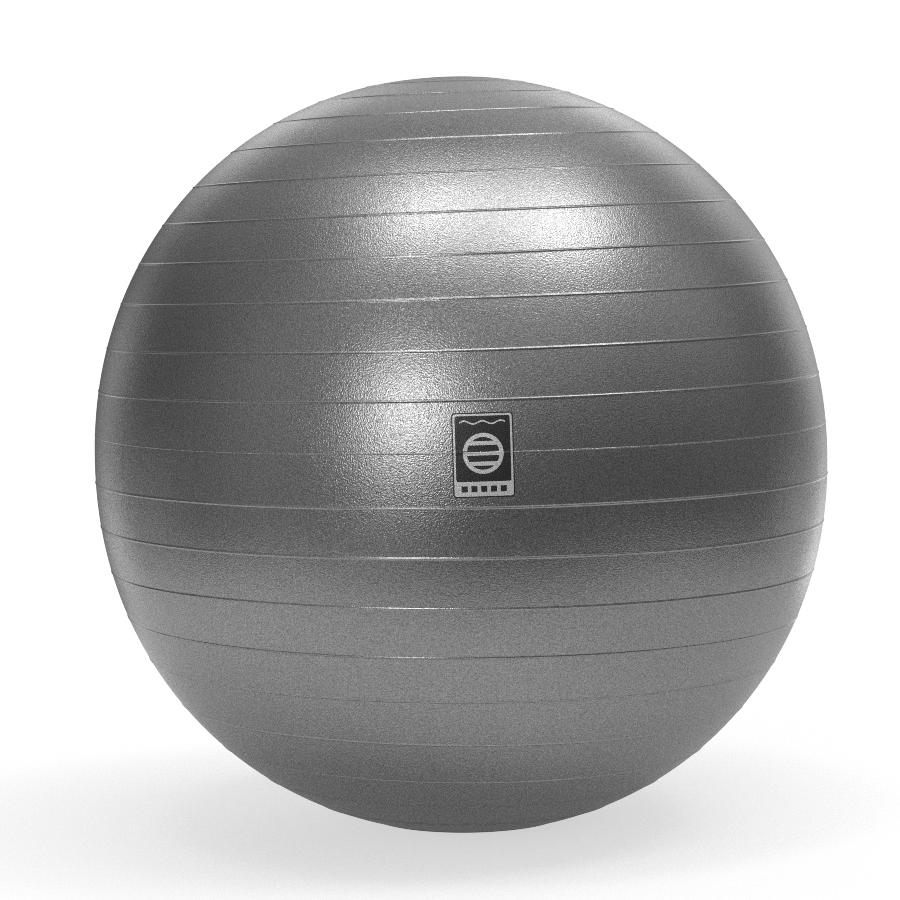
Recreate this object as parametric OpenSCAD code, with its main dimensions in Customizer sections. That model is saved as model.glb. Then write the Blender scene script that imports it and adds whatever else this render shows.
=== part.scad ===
// Inflatable exercise ball with raised ribs, standing on its own contact patch.
// Origin: centre of the contact patch, on the floor. +Z: up, along the axis
// that the ribs run round. The badge faces -Y and the inflation plug is on top.
// Lengths are in millimetres and angles in degrees of latitude.

/* [Ball] */
// Diameter round the middle when fully inflated, without the ribs
ball_d = 650; // [450:10:850]
// Height of the top half, as a share of the middle's radius
rise_up = 1.038; // [1.0:0.001:1.08]
// Depth of the bottom half, as a share of the middle's radius
rise_down = 1.024; // [1.0:0.001:1.08]
// Squareness of the side view: 2 is a true ellipse
squareness = 2.07; // [2:0.01:2.2]
// Thickness of the vinyl wall between ribs
wall = 0.9; // [0.7:0.1:2]
// Radius of the flat that the ball's own weight makes on the floor
contact_r = 32; // [15:1:45]

/* [Ribs] */
// Height of the parting line above the middle
seam_lat = 5; // [0:0.5:8]
// Step from the parting line to the first rib above it
pitch_up = 7.14; // [6.8:0.02:8.5]
// Step from the parting line to the first rib below it
pitch_down = 7.2; // [6.8:0.02:8.5]
// How much each step above the line is wider than the last
grow_up = 0.035; // [0:0.005:0.1]
// How much each step below the line is wider than the last
grow_down = 0.17; // [0:0.01:0.2]
// Most ribs above the parting line
ribs_up = 10; // [4:1:10]
// Most ribs below the parting line
ribs_down = 10; // [4:1:10]
// Height of a rib above the wall
rib_h = 0.5; // [0.3:0.1:1.6]
// Width of a rib at its foot
rib_w = 3; // [2.4:0.1:8]
// Height of the bead on the parting line
seam_h = 0.25; // [0.1:0.05:0.5]
// Width of the bead on the parting line
seam_w = 1.6; // [1:0.1:3]

/* [Inflation valve] */
// Diameter of the hole that the plug fills
bore_d = 9; // [7:0.5:11]
// Diameter of the thick boss round the hole, inside the ball
boss_d = 26; // [20:1:34]
// Length of the hole
bore_len = 14; // [10:1:20]
// Diameter of the dish that the plug's head lies in
dish_d = 21; // [18:0.5:24]
// Depth of the dish
dish_depth = 2.4; // [2:0.1:3]
// Clearance between the plug and the hole, on the radius
plug_gap = 0.05; // [0.02:0.01:0.1]
// Length of the plug below its head
plug_len = 22; // [16:1:28]
// Thickness of the plug's head
head_t = 1.8; // [1.2:0.1:1.9]

/* [Badge] */
// Width of the badge
badge_w = 48.5; // [30:0.5:60]
// Height of the badge
badge_h = 66.5; // [40:0.5:68]
// Radius of its corners
badge_r = 2.6; // [1.5:0.1:5]
// Thickness of the printed ink
ink_t = 0.1; // [0.05:0.01:0.2]
// Width of the thin border line
line_w = 1.6; // [0.6:0.1:2.5]
// Distance from the badge's edge to the border line
line_in = 1.0; // [0.5:0.1:2]
// Height of the silver band at the badge's foot
band_h = 11.5; // [6:0.5:12]

/* [Hidden] */
$fn = 120;

vinyl_grey = [0.42, 0.42, 0.43];
plug_black = [0.16, 0.16, 0.17];
ink_black = [0.05, 0.05, 0.055];
ink_silver = [0.74, 0.74, 0.75];

// --- Meridian: points are [distance from the axis, height] ---

ball_r = ball_d / 2;

// Distance from the ball's centre to its wall at a latitude
function reach(lat) =
    let (rise = lat > 0 ? rise_up : rise_down)
    ball_r * pow(pow(abs(cos(lat)), squareness) + pow(abs(sin(lat)) / rise, squareness),
                 -1 / squareness);
function on_wall(lat) = reach(lat) * [cos(lat), sin(lat)];
// Outward direction of the wall, from its tangent over a tenth of a degree
function outward(lat) =
    let (tangent = on_wall(lat + 0.05) - on_wall(lat - 0.05))
    [tangent.y, -tangent.x] / norm(tangent);
// Point at a height h outside the wall, measured from the ball's centre
function skin(lat, h = 0) = on_wall(lat) + h * outward(lat);

// Latitude, between low and high, at which the wall stands r from the axis, by bisection
function lat_at(r, low, high, rounds = 40) =
    let (middle = (low + high) / 2)
    rounds == 0 ? middle :
    let (near_pole = reach(middle) * cos(middle) < r,
         pole_is_high = abs(high) > abs(low))
    pole_is_high == near_pole
        ? lat_at(r, low, middle, rounds - 1)
        : lat_at(r, middle, high, rounds - 1);
function top_lat(r) = lat_at(r, 60, 89.9);
function bottom_lat(r) = lat_at(r, -89.9, -60);

rest_lat = bottom_lat(contact_r);
// Height of the ball's centre over the floor
centre_z = -skin(rest_lat).y;
// Moves points from the ball's centre to the floor's frame
function raised(points) = [for (p = points) p + [0, centre_z]];
function skin_z(lat) = skin(lat).y + centre_z;

// --- Ribs and parting line ---

top_rib_limit = 82;    // highest latitude for a rib, short of the dish
rest_rib_margin = 2;   // least step from the contact patch to a rib

// Latitude of the k-th rib: above the parting line for k > 0, below it for k < 0
function rib_lat(k) = k >= 0
    ? seam_lat + k * pitch_up + grow_up * k * (k - 1) / 2
    : seam_lat + k * pitch_down - grow_down * k * (k + 1) / 2;
count_up = max([for (k = [1:ribs_up]) if (rib_lat(k) < top_rib_limit) k]);
count_down = max([for (k = [1:ribs_down]) if (rib_lat(-k) > rest_lat + rest_rib_margin) k]);

// Each bead is [latitude, width, height], lowest first, with the parting line among them
beads = [for (k = [-count_down:count_up])
    [rib_lat(k), k == 0 ? seam_w : rib_w, k == 0 ? seam_h : rib_h]];
function lat_of(bead) = bead[0];
function width_of(bead) = bead[1];
function height_of(bead) = bead[2];
last = len(beads) - 1;
seam = beads[count_down];
rib_below = beads[count_down - 1];
rib_above = beads[count_down + 1];

// Half a bead's width, as an angle
function half_angle(bead) = width_of(bead) / 2 / reach(lat_of(bead)) * 180 / PI;
// One rounded bead across the meridian
function bead_points(bead, h = 0, steps = 6) =
    [for (i = [0:steps])
        let (across = i / steps * 2 - 1)
        skin(lat_of(bead) + across * half_angle(bead),
             h + height_of(bead) * (1 + cos(180 * across)) / 2)];
// The plain wall between two latitudes, without its ends
function wall_points(low, high, h = 0) =
    let (steps = max(4, ceil((high - low) / 3)))
    [for (i = [1:steps - 1]) skin(low + (high - low) * i / steps, h)];

// --- Valve places ---

dish_r = dish_d / 2;
bore_r = bore_d / 2;
boss_r = boss_d / 2;
lip_w = 0.6;           // rounded edge between the wall and the dish
bore_chamfer = 0.6;
boss_bevel = 2.5;
lip_lat = top_lat(dish_r + lip_w);
lip_z = skin_z(lip_lat);
dish_z = lip_z - dish_depth;
bore_end = dish_z - bore_len;

// --- Ball: wall, ribs, parting line, dish and plug boss, all one moulding ---

// Outside, from the contact patch up to the dish's lip
outer = raised([
    skin(rest_lat),
    each wall_points(rest_lat, lat_of(beads[0])),
    for (i = [0:last]) each [
        each bead_points(beads[i]),
        if (i < last) each wall_points(lat_of(beads[i]), lat_of(beads[i + 1]))
    ],
    each wall_points(lat_of(beads[last]), lip_lat),
    skin(lip_lat)
]);

// Inside, from the boss down to the contact patch
inner_steps = 56;
inner_top = top_lat(boss_r + 4);
inner_rest = bottom_lat(contact_r + 0.3);
inner = raised([for (i = [0:inner_steps])
    skin(inner_top + (inner_rest - inner_top) * i / inner_steps, -wall)]);
// Height near which the boss flares into the wall
flare_z = inner[0].y - 2.5;

// Dish, hole and boss, from the lip inwards and back out under the wall
valve_seat = [
    [dish_r + 0.15, lip_z - 0.12],
    [dish_r, lip_z - 0.5],
    [dish_r, dish_z],
    [bore_r + bore_chamfer, dish_z],
    [bore_r, dish_z - bore_chamfer],
    [bore_r, bore_end],
    [boss_r - boss_bevel, bore_end],
    [boss_r, bore_end + boss_bevel],
    [boss_r, flare_z - 1.5],
    [boss_r + 1.2, flare_z + 1]
];

module ball_shell() {
    color(vinyl_grey)
    rotate_extrude($fn = 180)
    polygon(concat(
        [[0, 0]], outer, valve_seat, inner,
        [[contact_r + 0.1, wall], [0, wall]]));
}

// --- Plug: a thin head that lies in the dish, and a stem with a ringed tip ---

stem_r = bore_r - plug_gap;
tip_z = dish_z - plug_len;
// Tapered tip, ring and groove: [offset from the stem's radius, height over the tip]
tip_profile = [
    [-2.2, 0], [-1.2, 0.8], [-0.15, 3.2], [-0.15, 3.8],
    [-1.1, 4.4], [-1.1, 5.4], [0, 6.2]
];
head_r = dish_r - 0.7;
head_z = dish_z + 0.02;        // underside of the head, just clear of the dish
head_chamfer = 0.5;            // at the foot of the rim
rim_w = 1.6;                   // width of the rim's rounding
rim_z = dish_z + 0.7;          // where the rounding starts
crown_z = dish_z + head_t - 0.3;
crown_rise = 0.5;              // of the head's middle over the rim's rounding
crown_r = head_r - rim_w;
stem_hole_r = 1.4;
stem_hole_depth = 9;
notch_r = 0.75;
notch_len = 7;

module plug_body() {
    rotate_extrude($fn = 96)
    polygon([
        [0, tip_z],
        for (p = tip_profile) [stem_r + p.x, tip_z + p.y],
        [stem_r, dish_z - 0.45],
        [stem_r + 0.5, head_z],
        [head_r - head_chamfer, head_z],
        [head_r, dish_z + head_chamfer],
        for (i = [0:6])
            let (turn = i / 6 * 90)
            [crown_r + rim_w * cos(turn), rim_z + (crown_z - rim_z) * sin(turn)],
        for (i = [1:5])
            let (x = crown_r * (1 - i / 5))
            [x, crown_z + crown_rise * (1 - pow(x / crown_r, 2))]
    ]);
}

module inflation_plug() {
    color(plug_black)
    difference() {
        plug_body();
        // Blind hole up the stem, which lets the tip squeeze in
        translate([0, 0, tip_z - 1])
            cylinder(r = stem_hole_r, h = stem_hole_depth + 1, $fn = 48);
        // Nail notch under the rim of the head, for pulling the plug
        translate([0, -head_r - 0.2, dish_z + 0.35])
            rotate([0, 90, 0])
            cylinder(r = notch_r, h = notch_len, center = true, $fn = 32);
    }
}

// --- Badge: ink films on the wall, between the two ribs next to the parting line ---

badge_z = skin_z(seam_lat) - 2;
// The badge shrinks if it has to, to lie between the two ribs
edge_margin = 2.6;
clear_angle = min(pitch_up, pitch_down) - half_angle(rib_above);
room = 2 * (ball_r * clear_angle * PI / 180 - edge_margin);
fit = min(1, floor(room / badge_h * 50) / 50);
fit_w = badge_w * fit;
fit_h = badge_h * fit;
fit_band = band_h * fit;
// Heights of the two ink layers over the wall, with a hair's breadth under each
layer_gap = 0.02;
ground_base = layer_gap;
silver_base = 2 * layer_gap + ink_t;

// Meridian between the two ribs, h outside the wall and the parting line
function film_side(h) = raised([
    skin(lat_of(rib_below) + half_angle(rib_below), h),
    each wall_points(lat_of(rib_below), lat_of(seam), h),
    each bead_points(seam, h),
    each wall_points(lat_of(seam), lat_of(rib_above), h),
    skin(lat_of(rib_above) - half_angle(rib_above), h)
]);

// A film of ink all round the ball, with its inner face at base
module film(base) {
    outside = film_side(base + ink_t);
    rotate_extrude($fn = 180)
    polygon(concat(
        film_side(base),
        [for (i = [len(outside) - 1:-1:0]) outside[i]]));
}

// Cuts the film to flat shapes, pushed through the ball's front round the badge's centre
module printed(base) {
    intersection() {
        film(base);
        translate([0, -ball_r * 0.8, badge_z])
            rotate([90, 0, 0])
            linear_extrude(ball_r * 0.35) children();
    }
}

module rounded(w, h, r) {
    union() {
        square([w - 2 * r, h], center = true);
        square([w, h - 2 * r], center = true);
        for (x = [-1, 1], y = [-1, 1])
            translate([x * (w / 2 - r), y * (h / 2 - r)]) circle(r, $fn = 48);
    }
}

// Black ink ground of the badge
module badge_ground() {
    color(ink_black) printed(ground_base) rounded(fit_w, fit_h, badge_r);
}

// Silver border line, which widens into a band at the foot, with a row of squares left out
module badge_border() {
    border_w = fit_w - 2 * line_in;
    border_h = fit_h - 2 * line_in;
    open_h = border_h - line_w - fit_band;
    square_w = fit_band * 0.42;
    square_pitch = border_w * 0.165;
    color(ink_silver) printed(silver_base) difference() {
        rounded(border_w, border_h, badge_r * 0.75);
        translate([0, (fit_band - line_w) / 2])
            rounded(border_w - 2 * line_w, open_h, badge_r * 0.6);
        for (i = [-2:2])
            translate([i * square_pitch, (fit_band - border_h) / 2])
            square(square_w, center = true);
    }
}

// Ring crossed by three level bars
module ball_emblem() {
    emblem_r = fit_w * 0.33;
    bar_w = emblem_r * 0.2;
    difference() {
        circle(emblem_r, $fn = 96);
        circle(emblem_r - bar_w, $fn = 96);
    }
    for (y = [-1:1]) intersection() {
        translate([0, y * emblem_r * 0.5]) square([2 * emblem_r, bar_w], center = true);
        circle(emblem_r - bar_w / 2, $fn = 96);
    }
}

// Wavy line, two and a half waves long
module wavy_line() {
    wave_w = fit_w * 0.74;
    wave_y = fit_h * 0.385;
    wave_rise = fit_h * 0.018;
    half_t = fit_h * 0.009;
    steps = 30;
    function wave_point(i, side) =
        let (along = i / steps - 0.5)
        [along * wave_w, wave_y + wave_rise * cos(along * 360 * 2.5) + side * half_t];
    polygon([
        for (i = [0:steps]) wave_point(i, 1),
        for (i = [steps:-1:0]) wave_point(i, -1)
    ]);
}

// Silver emblem: a plain ball with three ribs, and a wavy line over it
module badge_emblem() {
    color(ink_silver) printed(silver_base) {
        translate([0, fit_h * 0.02]) ball_emblem();
        wavy_line();
    }
}

ball_shell();
inflation_plug();
badge_ground();
badge_border();
badge_emblem();
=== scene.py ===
"""Ribbed inflatable ball in pearl grey vinyl, with a printed badge and a plug.

Metres. The ball rests on z = 0 with its axis on Z and the plug at the top. The badge faces -Y,
and so does the camera's side. Longitude runs from +X towards +Y, latitude from the middle up.
"""
import math

import bmesh
import bpy
import numpy as np
from mathutils import Matrix, Vector
from mathutils.geometry import tessellate_polygon


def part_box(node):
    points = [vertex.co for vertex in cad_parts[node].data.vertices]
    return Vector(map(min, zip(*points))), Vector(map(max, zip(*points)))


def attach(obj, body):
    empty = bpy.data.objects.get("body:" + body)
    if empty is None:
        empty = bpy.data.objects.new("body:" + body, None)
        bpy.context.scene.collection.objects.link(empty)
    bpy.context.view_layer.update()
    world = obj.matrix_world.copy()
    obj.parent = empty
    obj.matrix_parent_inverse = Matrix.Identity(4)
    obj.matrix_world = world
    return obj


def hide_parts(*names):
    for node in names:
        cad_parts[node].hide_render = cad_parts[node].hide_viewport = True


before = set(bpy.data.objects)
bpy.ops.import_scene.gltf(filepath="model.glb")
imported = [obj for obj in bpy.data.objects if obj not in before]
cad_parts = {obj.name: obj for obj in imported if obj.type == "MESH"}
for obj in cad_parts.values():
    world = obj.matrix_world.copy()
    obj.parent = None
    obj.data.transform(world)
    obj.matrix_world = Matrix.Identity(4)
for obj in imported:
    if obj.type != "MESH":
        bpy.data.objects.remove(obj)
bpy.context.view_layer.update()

DEG = math.pi / 180

# ---------------------------------------------------------------------------
# Sizes of the ball
# ---------------------------------------------------------------------------
shell_lo, shell_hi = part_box("ball_shell")
RIB_H, RIB_W = 0.00050, 0.0030
SEAM_H, SEAM_W = 0.00025, 0.0014  # the parting line
FOLD_H = 0.00016
WALL = 0.0009
RADIUS = (shell_hi.x - shell_lo.x) / 2 - 0.00027  # plain wall, without the widest rib
STRETCH_UP, STRETCH_DOWN = 1.038, 1.024  # height of each half over the radius
ROUNDNESS = 2.07  # exponent of the meridian: 2 is an ellipse
CONTACT_R = 0.032
DISH_R, DISH_DEPTH = 0.0105, 0.0024
LIP = 0.0006
BORE_R, BORE_LENGTH = 0.0045, 0.014
BOSS_R = 0.013

# Latitudes of the parting line and the ribs, in degrees: ten ribs on each side of the
# parting line, with steps that grow towards the poles and are a little uneven
SEAM_LAT = 5.0
STEP_UP, STEP_UP_GROWTH = 7.14, 0.035
STEP_DOWN, STEP_DOWN_GROWTH = 7.20, 0.17
RIB_SLIP = {
    1: 0.16, 2: -0.05, 3: 0.2, 4: -0.22, 5: -0.44, 6: -0.28, 7: 0.19, 8: 0.39, 9: 0.22,
    -1: -0.44, -2: -0.17, -3: -0.04, -4: 0.07, -5: 0.5, -6: 0.09, -7: -0.59, -8: -0.24, -9: -0.38,
}
rib_lats = {0: SEAM_LAT}
for k in range(1, 11):
    rib_lats[k] = SEAM_LAT + k * STEP_UP + STEP_UP_GROWTH * k * (k - 1) / 2
    rib_lats[-k] = SEAM_LAT - k * STEP_DOWN - STEP_DOWN_GROWTH * k * (k - 1) / 2
# (latitude in degrees, number) from the bottom up; number 0 is the parting line
BEADS = sorted((lat + RIB_SLIP.get(k, 0.0), k) for k, lat in rib_lats.items())

# Burrs on the parting line: (longitude, half width, extra height as a share of the bead)
BURRS = (
    (-144.9, 0.55, 1.9), (-143.7, 0.35, 1.2), (-131.5, 0.45, 1.5), (-125.2, 0.35, 1.8),
    (-124.5, 0.5, 0.9), (-61.0, 0.4, 0.8), (37.0, 0.5, 1.2),
)
# Fold lines that run down the ball: (longitude, half width), in degrees
FOLDS = ((-154.3, 0.13), (24.0, 0.13))

# The rib pattern is off the level, most along the camera's left and right
VIEW_TURN = -3.1 * DEG  # the camera's turn about Z from straight in front (-Y)
FAN_LEVEL, FAN_SLOPE, FAN_CURVE = -0.00285, 0.0424, 0.0079  # radians, against latitude
SHEAR = -0.0084  # rise per metre towards the camera's right

# Slow changes round each rib: turns of each wave, its shift in metres, its share of height
WAVE_TURNS = (2, 3, 5, 9)
WAVE_SHIFTS = (0.00022, 0.00016, 0.00010, 0.00005)
WAVE_SHARES = (0.06, 0.05, 0.04, 0.03)
rng = np.random.default_rng(7)
WAVE_PHASES = {
    k: (rng.uniform(0, 2 * math.pi, 4), rng.uniform(0, 2 * math.pi, 4)) for k in sorted(rib_lats)
}


# ---------------------------------------------------------------------------
# Surface of the ball, as functions of latitude and longitude in radians
# ---------------------------------------------------------------------------
def reach(lat):
    """Distance of the plain wall from the ball's middle."""
    stretch = np.where(lat > 0, STRETCH_UP, STRETCH_DOWN)
    across = np.abs(np.cos(lat)) ** ROUNDNESS
    upright = (np.abs(np.sin(lat)) / stretch) ** ROUNDNESS
    return RADIUS * (across + upright) ** (-1 / ROUNDNESS)


def meridian(lat, out=0.0):
    """Distance from the axis and height over the middle, that far outside the wall."""
    eps = 1e-4
    here, after, before = reach(lat), reach(lat + eps), reach(lat - eps)
    x, z = here * np.cos(lat), here * np.sin(lat)
    along_x = after * np.cos(lat + eps) - before * np.cos(lat - eps)
    along_z = after * np.sin(lat + eps) - before * np.sin(lat - eps)
    length = np.hypot(along_x, along_z)
    return x + out * along_z / length, z - out * along_x / length


def lat_at(radius, near, pole):
    """Latitude at that distance from the axis, between two given in degrees."""
    near, pole = near * DEG, pole * DEG
    for _ in range(60):
        middle = (near + pole) / 2
        if reach(middle) * math.cos(middle) > radius:
            near = middle
        else:
            pole = middle
    return (near + pole) / 2


REST_LAT = lat_at(CONTACT_R, -60, -89.99)
MIDDLE_Z = -float(meridian(REST_LAT)[1])
LIP_LAT = lat_at(DISH_R + LIP, 60, 89.99)
LIP_Z = float(meridian(LIP_LAT)[1]) + MIDDLE_Z
DISH_Z = LIP_Z - DISH_DEPTH
BORE_END = DISH_Z - BORE_LENGTH


def fade(lat):
    """1 over most of the ball, 0 round the plug's dish and the contact patch."""
    t = np.clip((np.cos(lat) - 0.06) / 0.14, 0, 1)
    return t * t * (3 - 2 * t)


def fan(lat, lon):
    """How far the pattern of ribs is off the level, as latitude."""
    tilt = FAN_LEVEL + FAN_SLOPE * lat + FAN_CURVE * lat * lat
    return tilt * np.cos(lon - VIEW_TURN) * np.cos(lat) * fade(lat)


def bead_wobble(k, lon):
    """Slow changes round one rib: (shift of its line in metres, share of its height)."""
    shift_phases, share_phases = WAVE_PHASES[k]
    shift = sum(
        w * np.sin(i * lon + p) for w, i, p in zip(WAVE_SHIFTS, WAVE_TURNS, shift_phases)
    )
    tall = 1 + sum(
        w * np.sin((i + 1) * lon + p) for w, i, p in zip(WAVE_SHARES, WAVE_TURNS, share_phases)
    )
    return shift, tall


def fold_share(lat):
    """Share of a fold's height: one stretch above, a lower one across the middle."""
    d = lat / DEG
    top = np.clip((46 - d) / 6, 0, 1) * np.clip((d - 25) / 5, 0, 1)
    low = np.clip((16 - d) / 4, 0, 1) * np.clip((d + 7) / 7, 0, 1)
    return np.clip(top + 0.8 * low, 0, 1)


def turn_from(lon, degrees):
    """Longitude measured from a line given in degrees, within half a turn."""
    return (lon - degrees * DEG + math.pi) % (2 * math.pi) - math.pi


def hump(offset, half_width):
    """Rounded profile: 1 at its line, 0 from the half width on."""
    return 0.5 * (1 + np.cos(math.pi * np.clip(np.abs(offset) / half_width, 0, 1)))


def relief(lat, lon):
    """Height of ribs, parting line, burrs and folds over the plain wall."""
    lat, lon = np.broadcast_arrays(lat, lon)
    total = np.zeros(lat.shape)
    for degrees, k in BEADS:
        width, bead_height = (SEAM_W, SEAM_H) if k == 0 else (RIB_W, RIB_H)
        shift, tall = bead_wobble(k, lon)
        offset = (lat - degrees * DEG) * reach(lat) - shift * fade(lat)
        if k == 0:
            for burr_lon, half, more in BURRS:
                d = np.abs(turn_from(lon, burr_lon))
                tall = tall + more * np.clip(1 - d / (half * DEG), 0, 1)
        total = total + bead_height * tall * hump(offset, width / 2)
    for fold_lon, half in FOLDS:
        total = total + FOLD_H * fold_share(lat) * hump(turn_from(lon, fold_lon), half * DEG)
    return total


def skin(lat, lon, extra=0.0, bumps=True):
    """Points on the ball's outside, or that far outside it."""
    lat, lon = np.broadcast_arrays(np.asarray(lat, float), np.asarray(lon, float))
    out = (relief(lat, lon) if bumps else 0.0) + extra
    radius, z = meridian(lat + fan(lat, lon), out)
    x, y = radius * np.cos(lon), radius * np.sin(lon)
    rightward = x * math.cos(VIEW_TURN) + y * math.sin(VIEW_TURN)
    return np.stack([x, y, z + MIDDLE_Z + SHEAR * rightward * fade(lat)], -1)


def skin_normal(lat, lon):
    """Outward direction of the ribbed outside."""
    eps = 4e-5
    upward = skin(lat + eps, lon) - skin(lat - eps, lon)
    around = skin(lat, lon + eps) - skin(lat, lon - eps)
    normal = np.cross(around, upward)
    return normal / np.linalg.norm(normal, axis=-1, keepdims=True)


# ---------------------------------------------------------------------------
# Mesh helpers
# ---------------------------------------------------------------------------
def mesh_object(name, verts, faces, smooth=False):
    mesh = bpy.data.meshes.new(name)
    mesh.from_pydata([tuple(v) for v in verts], [], [tuple(f) for f in faces])
    mesh.update()
    mesh.validate()
    if smooth:
        mesh.polygons.foreach_set("use_smooth", [True] * len(mesh.polygons))
    ob = bpy.data.objects.new(name, mesh)
    bpy.context.scene.collection.objects.link(ob)
    return ob


def lathe(rings, first, last):
    """Skin over rings of equal count, closed at each end by a fan to a point."""
    count = len(rings[0])
    j = np.arange(count)
    after = (j + 1) % count
    faces = []
    for i in range(len(rings) - 1):
        a, b = i * count, (i + 1) * count
        faces += np.stack([a + j, a + after, b + after, b + j], -1).tolist()
    first_index = len(rings) * count
    last_ring = first_index - count
    faces += [[first_index, int(q), int(p)] for p, q in zip(j, after)]
    faces += [
        [first_index + 1, int(last_ring + p), int(last_ring + q)] for p, q in zip(j, after)
    ]
    return np.concatenate([*rings, np.array([first, last], float)]), faces


def put_on_ball(ob, piece):
    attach(ob, "ball")
    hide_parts(piece)


# ---------------------------------------------------------------------------
# The shell: outside, dish, plug hole, boss and inside wall as one closed mesh
# ---------------------------------------------------------------------------
def shell_longitudes():
    """Even steps, with extra lines over the burrs and folds."""
    degrees = set(np.round(np.arange(216) * (360 / 216) - 180, 4))
    for lon, half in [burr[:2] for burr in BURRS] + list(FOLDS):
        degrees |= set(np.round(lon + half * np.array([-1, -0.5, 0, 0.5, 1]), 4))
    degrees = sorted(degrees)
    # lines a hair apart would make sliver faces
    kept = [a for i, a in enumerate(degrees) if i == 0 or a - degrees[i - 1] > 0.03]
    return np.array(kept) * DEG


def shell_latitudes():
    """Close steps over each bead, wide ones over the bands between."""
    rib_half = RIB_W / 2 / RADIUS / DEG
    seam_half = SEAM_W / 2 / RADIUS / DEG
    slack = 0.00045 / RADIUS / DEG  # room for the slow shifts of a rib's line
    rib_steps = np.array([-1, -0.76, -0.54, -0.34, -0.16, 0, 0.16, 0.34, 0.54, 0.76, 1])
    seam_steps = np.linspace(-1, 1, 9)
    degrees = []
    previous = REST_LAT / DEG
    for bead, k in BEADS:
        half = (seam_half if k == 0 else rib_half) + slack
        band_steps = 4 if k > -10 else 6
        if bead - half > previous:
            degrees += list(np.linspace(previous, bead - half, band_steps + 2)[1:-1])
        degrees += list(bead + half * (seam_steps if k == 0 else rib_steps))
        previous = degrees[-1]
    degrees += list(np.linspace(previous, LIP_LAT / DEG, 6)[1:])
    return np.array(degrees) * DEG


LONS = shell_longitudes()
COUNT = len(LONS)


def circle(radius, z):
    return np.stack([radius * np.cos(LONS), radius * np.sin(LONS), np.full(COUNT, z)], -1)


def grain_share(lat):
    """How much pebble grain shows: all of it on the bands, little on the ribs."""
    near = min(
        abs(lat / DEG - degrees) * DEG * RADIUS / (RIB_W / 2 + 0.0002)
        for degrees, k in BEADS if k != 0
    )
    return 0.25 + 0.75 * min(1.0, max(0.0, near - 0.35) / 0.65)


def plug_seat_rings():
    """From the lip down the dish and bore, then up the outside of the boss to the wall."""
    top_lat = lat_at(BOSS_R + 0.004, 60, 89.9)
    wall_z = float(meridian(top_lat, -WALL)[1]) + MIDDLE_Z
    profile = (  # (radius, z)
        (DISH_R + 0.00035, LIP_Z - 0.00003),
        (DISH_R + 0.00012, LIP_Z - 0.00018),
        (DISH_R, LIP_Z - 0.0005),
        (DISH_R, DISH_Z + 0.0004),
        (DISH_R - 0.00012, DISH_Z + 0.00012),
        (DISH_R - 0.0004, DISH_Z),
        (BORE_R + 0.0008, DISH_Z),
        (BORE_R + 0.0003, DISH_Z - 0.00015),
        (BORE_R + 0.00002, DISH_Z - 0.0007),
        (BORE_R, DISH_Z - 0.0014),
        (BORE_R, BORE_END + 0.0005),
        (BORE_R + 0.0004, BORE_END),
        (BOSS_R - 0.0028, BORE_END),
        (BOSS_R - 0.0008, BORE_END + 0.0008),
        (BOSS_R, BORE_END + 0.0026),
        (BOSS_R, wall_z - 0.0042),
        (BOSS_R + 0.0008, wall_z - 0.0022),
        (BOSS_R + 0.0022, wall_z - 0.0006),
    )
    return [circle(radius, z) for radius, z in profile], top_lat


def build_shell():
    # contact patch: flat, with a soft edge
    rings = [circle(CONTACT_R * share, 0.0) for share in (0.25, 0.55, 0.8)]
    rings.append(circle(CONTACT_R * 0.95, 0.00002))
    shares = [1.0] * len(rings)
    exact_normals = {}  # by ring, where the outside follows the ribs
    for lat in shell_latitudes():
        lats = np.full(COUNT, lat)
        points = skin(lats, LONS)
        z = points[:, 2]
        low = z < 0.004
        points[:, 2] = np.where(low, 0.5 * (z + np.sqrt(z * z + 0.00025**2)), z)
        if not low.any() and lat < LIP_LAT - 1e-6:
            exact_normals[len(rings)] = skin_normal(lats, LONS)
        rings.append(points)
        shares.append(grain_share(lat))
    seat_rings, inside_top = plug_seat_rings()
    rings += seat_rings
    inside_rest = lat_at(CONTACT_R + 0.0003, -60, -89.9)
    for lat in np.linspace(inside_top, inside_rest, 30):
        points = skin(np.full(COUNT, lat), LONS, -WALL - 0.0003, bumps=False)
        points[:, 2] = np.maximum(points[:, 2], WALL)
        rings.append(points)
    rings.append(circle(CONTACT_R * 0.6, WALL))

    verts, faces = lathe(rings, first=(0, 0, 0), last=(0, 0, WALL))
    shell = mesh_object("ball_shell_skin", verts, faces, smooth=True)
    normals = np.empty(len(verts) * 3)
    shell.data.vertices.foreach_get("normal", normals)
    normals = normals.reshape(-1, 3)
    for i, exact in exact_normals.items():
        normals[i * COUNT : (i + 1) * COUNT] = exact
    shell.data.normals_split_custom_set_from_vertices(normals.tolist())
    grain = np.ones(len(verts))
    grain[: len(shares) * COUNT] = np.repeat(shares, COUNT)
    attribute = shell.data.attributes.new("grain_share", "FLOAT", "POINT")
    attribute.data.foreach_set("value", grain)
    return shell


shell = build_shell()
put_on_ball(shell, "ball_shell")

# ---------------------------------------------------------------------------
# The badge: thin films of ink that follow the wall and the parting line.
# Outlines are (x, height over the badge's middle).
# ---------------------------------------------------------------------------
badge_lo, badge_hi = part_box("badge_ground")
BADGE_W, BADGE_H = badge_hi.x - badge_lo.x, badge_hi.z - badge_lo.z
BADGE_Z = (badge_hi.z + badge_lo.z) / 2
INK = 0.00010
GROUND_INK = (0.00001, 0.00001 + INK)  # underside and top, outside the skin
SILVER_INK = (0.00002 + INK, 0.00002 + 1.8 * INK)
FILM_STEP = 0.0022  # the films are cut into squares of this size, to bend with the ball

# Plain meridian over the badge's height, to look latitudes up from
FRONT_LATS = np.linspace(-8, 16, 1500) * DEG
FRONT_RADII, FRONT_HEIGHTS = meridian(FRONT_LATS)


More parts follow.
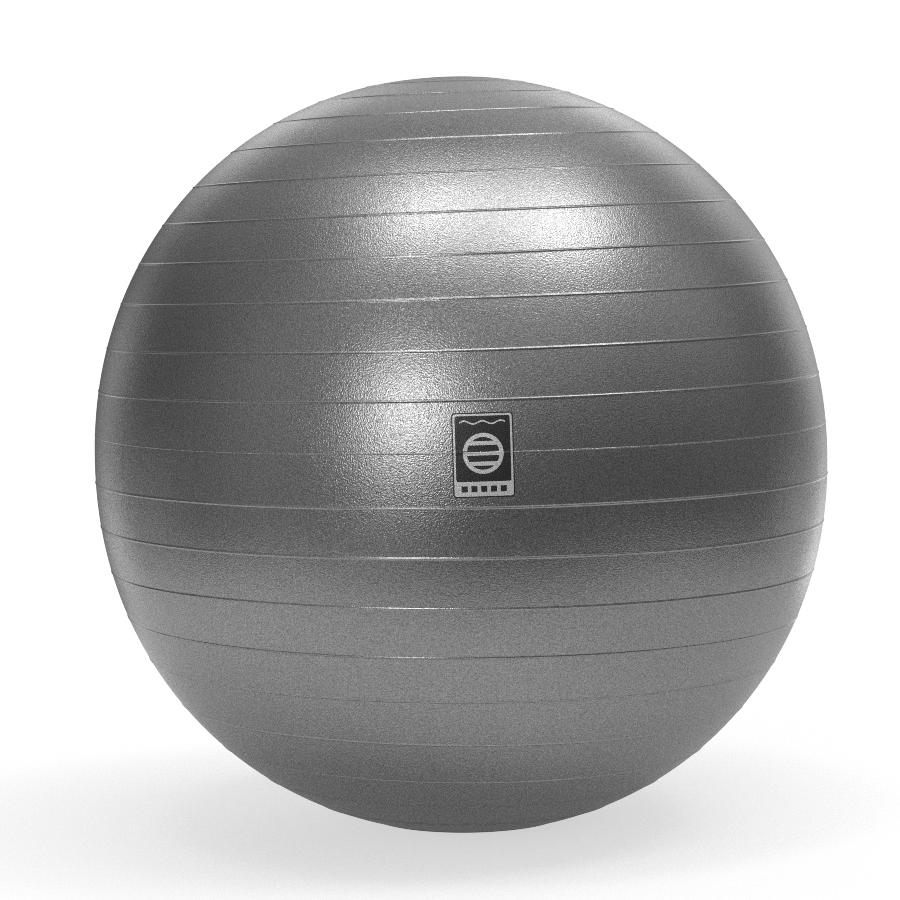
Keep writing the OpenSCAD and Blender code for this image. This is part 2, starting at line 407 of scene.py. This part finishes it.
def on_front(x, z, extra):
    """The point of the ball's front at x and height z, that far outside the skin."""
    lat = np.interp(z - MIDDLE_Z, FRONT_HEIGHTS, FRONT_LATS)
    for _ in range(3):
        radius = np.interp(lat, FRONT_LATS, FRONT_RADII)
        lon = -math.pi / 2 + np.arcsin(np.clip(x / radius, -1, 1))
        lat = lat + (z - skin(lat, lon)[..., 2]) / RADIUS
    return skin(lat, lon, extra)


def round_rect(width, height, radius, middle_y=0.0, steps=8):
    points = []
    for side_x, side_y, start in ((1, 1, 0), (-1, 1, 90), (-1, -1, 180), (1, -1, 270)):
        for i in range(steps + 1):
            a = (start + 90 * i / steps) * DEG
            x = side_x * (width / 2 - radius) + radius * math.cos(a)
            y = middle_y + side_y * (height / 2 - radius) + radius * math.sin(a)
            points.append((x, y))
    return points


def ring(radius, middle_y, count=64):
    angles = [2 * math.pi * i / count for i in range(count)]
    return [(radius * math.cos(a), middle_y + radius * math.sin(a)) for a in angles]


def flat_film(shapes):
    """Points and faces of flat shapes (outer loop, then holes), cut by a square grid."""
    bm = bmesh.new()
    for loops in shapes:
        polys = [[Vector((x, y, 0)) for x, y in loop] for loop in loops]
        points = [p for poly in polys for p in poly]
        corners = [bm.verts.new(p) for p in points]
        for tri in tessellate_polygon(polys):
            a, b, c = (points[i] for i in tri)
            if (b - a).cross(c - a).z < 0:
                tri = tri[::-1]
            # the tessellation may give a triangle twice or with a repeated corner
            try:
                bm.faces.new([corners[i] for i in tri])
            except ValueError:
                pass
    spans = [(min(values), max(values)) for values in zip(*(v.co.xy for v in bm.verts))]
    for axis, (start, end) in enumerate(spans):
        cut = math.ceil(start / FILM_STEP) * FILM_STEP
        while cut < end:
            place, normal = Vector((0, 0, 0)), Vector((0, 0, 0))
            place[axis] = cut
            normal[axis] = 1
            bmesh.ops.bisect_plane(
                bm, geom=bm.verts[:] + bm.edges[:] + bm.faces[:],
                plane_co=place, plane_no=normal, dist=1e-7,
            )
            cut += FILM_STEP
    bmesh.ops.remove_doubles(bm, verts=bm.verts[:], dist=2e-6)
    bmesh.ops.dissolve_degenerate(bm, edges=bm.edges[:], dist=1e-6)
    bm.verts.index_update()
    flat = np.array([v.co for v in bm.verts])
    faces = [[v.index for v in f.verts] for f in bm.faces]
    bm.free()
    return flat, faces


def film(name, shapes, levels):
    """Closed film lying on the ball, between two levels outside its skin."""
    flat, tops = flat_film(shapes)
    low, high = levels
    count = len(flat)
    # rim edges belong to one face; they keep the direction their face runs
    used = dict.fromkeys((a, b) for f in tops for a, b in zip(f, f[1:] + f[:1]))
    rim = [(a, b) for a, b in used if (b, a) not in used]
    verts = np.concatenate(
        [on_front(flat[:, 0], BADGE_Z + flat[:, 1], level) for level in (high, low)]
    )
    faces = tops + [[i + count for i in f[::-1]] for f in tops]
    faces += [[b, a, a + count, b + count] for a, b in rim]
    return mesh_object(name, verts, faces)


def border_shapes():
    """A rounded frame whose deep bottom band has a row of five square holes."""
    inset, line_w, band_h = 0.0010, 0.0016, 0.0115
    width, height = BADGE_W - 2 * inset, BADGE_H - 2 * inset
    square = band_h * 0.42
    pitch = width * 0.165
    corners = ((-1, -1), (-1, 1), (1, 1), (1, -1))
    squares = [
        [(i * pitch + a * square / 2, -height / 2 + band_h / 2 + b * square / 2)
         for a, b in corners]
        for i in (-2, -1, 0, 1, 2)
    ]
    outer = round_rect(width, height, 0.00195)
    window = round_rect(
        width - 2 * line_w, height - line_w - band_h, 0.00156, (band_h - line_w) / 2
    )
    return [[outer, window[::-1]] + squares]


def emblem_shapes():
    """A ring crossed by three level bars, with a wavy line above it."""
    radius = BADGE_W * 0.33
    bar = radius * 0.2
    middle_y = BADGE_H * 0.02
    shapes = [[ring(radius, middle_y), ring(radius - bar, middle_y)[::-1]]]
    for i in (-1, 0, 1):
        bar_y = i * radius * 0.5
        points = []
        for side in (1, -1):
            for share in np.linspace(-1, 1, 7):
                y = bar_y + side * share * bar / 2
                x = side * math.sqrt((radius - bar * 0.55) ** 2 - y * y)
                points.append((x, y + middle_y))
        shapes.append([points])
    width, half_line, waves = BADGE_W * 0.74, BADGE_H * 0.009, 2.5
    wave = []
    for i in range(61):
        t = i / 60 - 0.5
        y = BADGE_H * (0.385 + 0.018 * math.cos(t * waves * 2 * math.pi))
        wave.append((t * width, y))
    lower = [(x, y - half_line) for x, y in wave]
    upper = [(x, y + half_line) for x, y in wave[::-1]]
    shapes.append([lower + upper])
    return shapes


ground = film("badge_ground_ink", [[round_rect(BADGE_W, BADGE_H, 0.0026)]], GROUND_INK)
border = film("badge_border_ink", border_shapes(), SILVER_INK)
emblem = film("badge_emblem_ink", emblem_shapes(), SILVER_INK)
put_on_ball(ground, "badge_ground")
put_on_ball(border, "badge_border")
put_on_ball(emblem, "badge_emblem")


# ---------------------------------------------------------------------------
# Shader helpers
# ---------------------------------------------------------------------------
def node(tree, kind, inputs, **settings):
    """New node; each input is given a value or linked from a socket."""
    made = tree.nodes.new(kind)
    for name, value in settings.items():
        setattr(made, name, value)
    for key, value in inputs.items():
        if isinstance(value, bpy.types.NodeSocket):
            tree.links.new(value, made.inputs[key])
        else:
            made.inputs[key].default_value = value
    return made


def calc(tree, operation, *values):
    return node(tree, "ShaderNodeMath", dict(enumerate(values)), operation=operation).outputs[0]


def ramp(tree, value, start=0.0, end=1.0, to=(0.0, 1.0), kind="LINEAR"):
    inputs = {"Value": value, "From Min": start, "From Max": end, "To Min": to[0], "To Max": to[1]}
    return node(tree, "ShaderNodeMapRange", inputs, interpolation_type=kind).outputs[0]


def smooth_step(tree, value, start, end, to=(0.0, 1.0)):
    return ramp(tree, value, start, end, to, "SMOOTHSTEP")


def by_ray(tree, is_camera, others, camera):
    """One value for camera rays and another for all other rays."""
    inputs = {0: is_camera, 2: others, 3: camera}
    return node(tree, "ShaderNodeMix", inputs, data_type="FLOAT").outputs[0]


def new_material(name):
    material = bpy.data.materials.new(name)
    material.use_nodes = True
    material.node_tree.nodes.clear()
    return material, material.node_tree


# ---------------------------------------------------------------------------
# Vinyl and ink
# ---------------------------------------------------------------------------
CELL_SCALE, GRAIN_SCALE = 740.0, 880.0
GRAIN_H = 0.00021


def vinyl(name, colour, metallic, roughness, grain, flake=0.0, share=None):
    """Pebbled vinyl; share names an attribute that weakens the grain."""
    material, tree = new_material(name)
    place = node(tree, "ShaderNodeTexCoord", {}).outputs["Object"]
    # pebble grain: small rounded cells broken up by a noise of about the same size
    cells = node(
        tree, "ShaderNodeTexVoronoi",
        {"Vector": place, "Scale": CELL_SCALE, "Smoothness": 0.6}, feature="SMOOTH_F1",
    )
    noise = node(
        tree, "ShaderNodeTexNoise",
        {"Vector": place, "Scale": GRAIN_SCALE, "Detail": 1.0, "Roughness": 0.5},
    )
    pebbles = calc(tree, "MULTIPLY_ADD", cells.outputs["Distance"], -0.45, noise.outputs["Fac"])
    bump = node(
        tree, "ShaderNodeBump", {"Strength": 1.0, "Distance": GRAIN_H * grain, "Height": pebbles}
    )
    if share:
        attribute = node(tree, "ShaderNodeAttribute", {}, attribute_name=share)
        tree.links.new(attribute.outputs["Fac"], bump.inputs["Strength"])
    # slow blotches of tone and gloss
    blotches = node(
        tree, "ShaderNodeTexNoise",
        {"Vector": place, "Scale": 7.0, "Detail": 4.0, "Roughness": 0.55},
    ).outputs["Fac"]
    tone = ramp(tree, blotches, to=(0.95, 1.05))
    # pearl flakes: grain-sized specks a little lighter or darker
    moved = node(tree, "ShaderNodeVectorMath", {0: place, 1: (3.1, 7.7, 1.3)}, operation="ADD")
    specks = node(
        tree, "ShaderNodeTexNoise",
        {"Vector": moved.outputs[0], "Scale": GRAIN_SCALE * 1.1, "Detail": 0.0},
    ).outputs["Fac"]
    flakes = ramp(tree, specks, 0.25, 0.75, to=(1 - flake, 1 + flake))
    brightness = calc(tree, "MULTIPLY", tone, flakes)
    tinted = node(
        tree, "ShaderNodeVectorMath", {0: colour, "Scale": brightness}, operation="SCALE"
    )
    bsdf = node(tree, "ShaderNodeBsdfPrincipled", {
        "Base Color": tinted.outputs[0],
        "Roughness": ramp(tree, blotches, to=(roughness - 0.02, roughness + 0.02)),
        "Metallic": metallic,
        "Normal": bump.outputs[0],
    })
    node(tree, "ShaderNodeOutputMaterial", {"Surface": bsdf.outputs[0]})
    return material


shell_vinyl = vinyl(
    "pearl_grey_vinyl", colour=(0.30, 0.30, 0.303), metallic=0.85, roughness=0.295,
    grain=1.0, flake=0.30, share="grain_share",
)
black_ink = vinyl(
    "badge_black_ink", colour=(0.012, 0.012, 0.013), metallic=0.0, roughness=0.42, grain=0.5
)
silver_ink = vinyl(
    "badge_silver_ink", colour=(0.60, 0.60, 0.61), metallic=0.3, roughness=0.42, grain=0.5
)
plug_vinyl = vinyl(
    "plug_black_vinyl", colour=(0.03, 0.03, 0.032), metallic=0.0, roughness=0.45, grain=0.3
)
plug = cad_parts["inflation_plug"]
plug.data.materials.clear()
for ob, material in (
    (shell, shell_vinyl), (ground, black_ink), (border, silver_ink), (emblem, silver_ink),
    (plug, plug_vinyl),
):
    ob.data.materials.append(material)

# ---------------------------------------------------------------------------
# Floor
# ---------------------------------------------------------------------------
FLOOR_HALF = 9.0
# Glow of the floor: everywhere, more to the camera's left, more under the ball,
# and what the camera sees instead
GLOW, GLOW_LEFT, GLOW_NEAR, GLOW_CAMERA = 0.036, 0.010, 0.075, 0.60


def floor_material():
    """Pale floor. The camera sees it fade into the background; the ball sees a white
    sheet of limited size with the room beyond it."""
    material, tree = new_material("pale_floor")
    geometry = node(tree, "ShaderNodeNewGeometry", {})
    split = node(tree, "ShaderNodeSeparateXYZ", {0: geometry.outputs["Position"]})
    x, y = split.outputs[0], split.outputs[1]
    squares = calc(tree, "ADD", calc(tree, "MULTIPLY", x, x), calc(tree, "MULTIPLY", y, y))
    distance = calc(tree, "SQRT", squares)
    frontward = calc(tree, "MULTIPLY", y, -1.0)
    leftward = calc(tree, "MULTIPLY", x, -1.0)
    is_camera = node(tree, "ShaderNodeLightPath", {}).outputs["Is Camera Ray"]

    far_off = smooth_step(tree, distance, 0.8, 2.6)
    off_sheet = calc(
        tree, "MAXIMUM",
        smooth_step(tree, frontward, 0.50, 0.95), smooth_step(tree, distance, 0.85, 1.15),
    )
    side_glow = calc(tree, "MULTIPLY", smooth_step(tree, leftward, 0.3, 0.9), GLOW_LEFT)
    near_glow = smooth_step(tree, distance, 0.10, 0.40, to=(GLOW_NEAR, 0.0))
    glow = calc(tree, "ADD", side_glow, calc(tree, "ADD", near_glow, GLOW))
    # camera rays see a darker base under a strong glow, so that the shadow stays light; other rays
    # see painted shade, a base that darkens from 0.82 to 0.68 towards the camera's right
    colour = node(tree, "ShaderNodeMix", {
        0: is_camera,
        6: smooth_step(tree, x, 0.0, 0.4, to=(0.82, 0.68)),
        7: (0.42, 0.42, 0.42, 1),
    }, data_type="RGBA")
    bsdf = node(tree, "ShaderNodeBsdfPrincipled", {
        "Base Color": (0.82, 0.82, 0.82, 1),
        "Roughness": 0.9,
        "Specular IOR Level": 0.2,
        "Emission Color": (1, 1, 1, 1),
        "Emission Strength": by_ray(tree, is_camera, glow, GLOW_CAMERA),
    })
    tree.links.new(colour.outputs[2], bsdf.inputs["Base Color"])
    clear = node(tree, "ShaderNodeBsdfTransparent", {})
    surface = node(tree, "ShaderNodeMixShader", {
        0: by_ray(tree, is_camera, off_sheet, far_off),
        1: bsdf.outputs[0],
        2: clear.outputs[0],
    })
    node(tree, "ShaderNodeOutputMaterial", {"Surface": surface.outputs[0]})
    return material


s = FLOOR_HALF
floor = mesh_object("floor", [(-s, -s, 0), (s, -s, 0), (s, s, 0), (-s, s, 0)], [(0, 1, 2, 3)])
floor.location.z = -0.0002
floor.data.materials.append(floor_material())

# ---------------------------------------------------------------------------
# Studio round the ball, as soft lights on a far sphere: (degrees right of the
# camera, degrees up, softness in degrees, strength)
# ---------------------------------------------------------------------------
SOFT_LIGHTS = (
    (-42.0, 56.1, 6.5, 1.80), (5.7, 63.3, 6.5, 3.94), (-33.7, 70.2, 6.5, 4.59),
    (45.0, 67.0, 6.5, 7.36), (61.4, 57.9, 6.5, 5.10), (22.6, 82.6, 6.5, 6.73),
    (77.7, 60.6, 6.5, 5.90), (-102.5, 65.3, 6.5, 1.74), (-116.6, 77.4, 6.5, 1.66),
    (108.4, 72.5, 6.5, 3.10), (100.3, 60.8, 6.5, 2.37), (70.5, 56.7, 4.0, 7.92),
    (-34.3, 75.1, 4.0, 17.52), (-117.5, 42.7, 14.0, 0.26), (-20.0, 3.0, 5.0, 6.84),
    (-20.0, 15.0, 5.0, 8.48), (-20.0, 28.0, 5.0, 4.30), (-11.0, 15.0, 5.0, 16.18),
    (-25.0, -18.0, 9.0, 0.35), (-95.0, 0.0, 20.0, 0.08), (-60.0, 0.0, 20.0, 0.27),
    (-60.0, 35.0, 20.0, 0.35), (25.0, 35.0, 20.0, 0.55), (60.0, 35.0, 20.0, 0.25),
    (95.0, 0.0, 20.0, 0.07), (95.0, 35.0, 20.0, 0.50), (128.0, -12.0, 8.0, 1.14),
    (142.0, 6.0, 8.0, 0.86), (142.0, 24.0, 8.0, 0.95), (155.0, -12.0, 8.0, 2.35),
    (155.0, 6.0, 8.0, 1.03), (155.0, 24.0, 8.0, 1.04), (168.0, 24.0, 8.0, 2.16),
    (-168.0, 24.0, 8.0, 1.80), (-155.0, 24.0, 8.0, 0.94), (-142.0, -12.0, 8.0, 1.78),
    (-142.0, 6.0, 8.0, 0.84), (-112.0, -12.0, 8.0, 0.68), (-150.0, 48.0, 12.0, 0.38),
    (180.0, 48.0, 12.0, 0.87), (150.0, 48.0, 12.0, 0.68),
)
AMBIENT = 0.070


def toward(right, up):
    """Direction at angles right of and above straight in front (-Y)."""
    return Vector(
        (math.sin(right) * math.cos(up), -math.cos(right) * math.cos(up), math.sin(up))
    )


def build_world():
    world = bpy.data.worlds.new("studio")
    bpy.context.scene.world = world
    world.use_nodes = True
    tree = world.node_tree
    ray = node(tree, "ShaderNodeTexCoord", {}).outputs["Generated"]
    total = AMBIENT
    for right, up, softness, strength in SOFT_LIGHTS:
        direction = Matrix.Rotation(VIEW_TURN, 3, "Z") @ toward(right * DEG, up * DEG)
        dot = node(
            tree, "ShaderNodeVectorMath", {0: ray, 1: direction}, operation="DOT_PRODUCT"
        ).outputs["Value"]
        short = calc(tree, "SUBTRACT", dot, 1.0)
        fall = calc(tree, "DIVIDE", short, 1 - math.cos(softness * DEG))
        light = calc(tree, "MULTIPLY", calc(tree, "EXPONENT", fall), strength)
        total = calc(tree, "ADD", light, total)
    is_camera = node(tree, "ShaderNodeLightPath", {}).outputs["Is Camera Ray"]
    background = tree.nodes["Background"]
    background.inputs["Color"].default_value = (1, 1, 1, 1)
    tree.links.new(by_ray(tree, is_camera, total, 1.0), background.inputs["Strength"])


build_world()

# ---------------------------------------------------------------------------
# Camera: looks at the ball's middle from a little above, then turned slightly
# ---------------------------------------------------------------------------
DISTANCE = 8.0 * RADIUS
ELEVATION, ROLL = 4.51 * DEG, 1.555 * DEG
AIM_YAW, AIM_PITCH = 0.21483353 * DEG, 0.13205402 * DEG
LENS, SENSOR = 116.28, 36.0  # millimetres


def build_camera():
    back = toward(VIEW_TURN, ELEVATION)
    forward = -back
    right = Vector((math.cos(VIEW_TURN), math.sin(VIEW_TURN), 0))
    up = right.cross(forward)
    c, s = math.cos(ROLL), math.sin(ROLL)
    roll = np.array([[c, s, 0], [-s, c, 0], [0, 0, 1]])
    c, s = math.cos(AIM_YAW), math.sin(AIM_YAW)
    yaw = np.array([[c, 0, s], [0, 1, 0], [-s, 0, c]])
    c, s = math.cos(AIM_PITCH), math.sin(AIM_PITCH)
    pitch = np.array([[1, 0, 0], [0, c, s], [0, -s, c]])
    # rows: the camera's right, down and forward
    axes = pitch @ yaw @ roll @ np.array([right, -up, forward])
    placing = Matrix.Identity(4)
    for i in range(3):
        placing[i][0], placing[i][1], placing[i][2] = axes[0][i], -axes[1][i], -axes[2][i]
    placing.translation = Vector((0, 0, MIDDLE_Z)) + back * DISTANCE

    data = bpy.data.cameras.new("camera")
    data.sensor_width = SENSOR
    data.lens = LENS
    camera = bpy.data.objects.new("camera", data)
    bpy.context.scene.collection.objects.link(camera)
    camera.matrix_world = placing
    return camera


scene = bpy.context.scene
scene.camera = build_camera()
scene.view_settings.view_transform = "Standard"
scene.cycles.filter_width = 1.0
scene.cycles.use_denoising = False  # a denoiser rubs the pebble grain out in patches
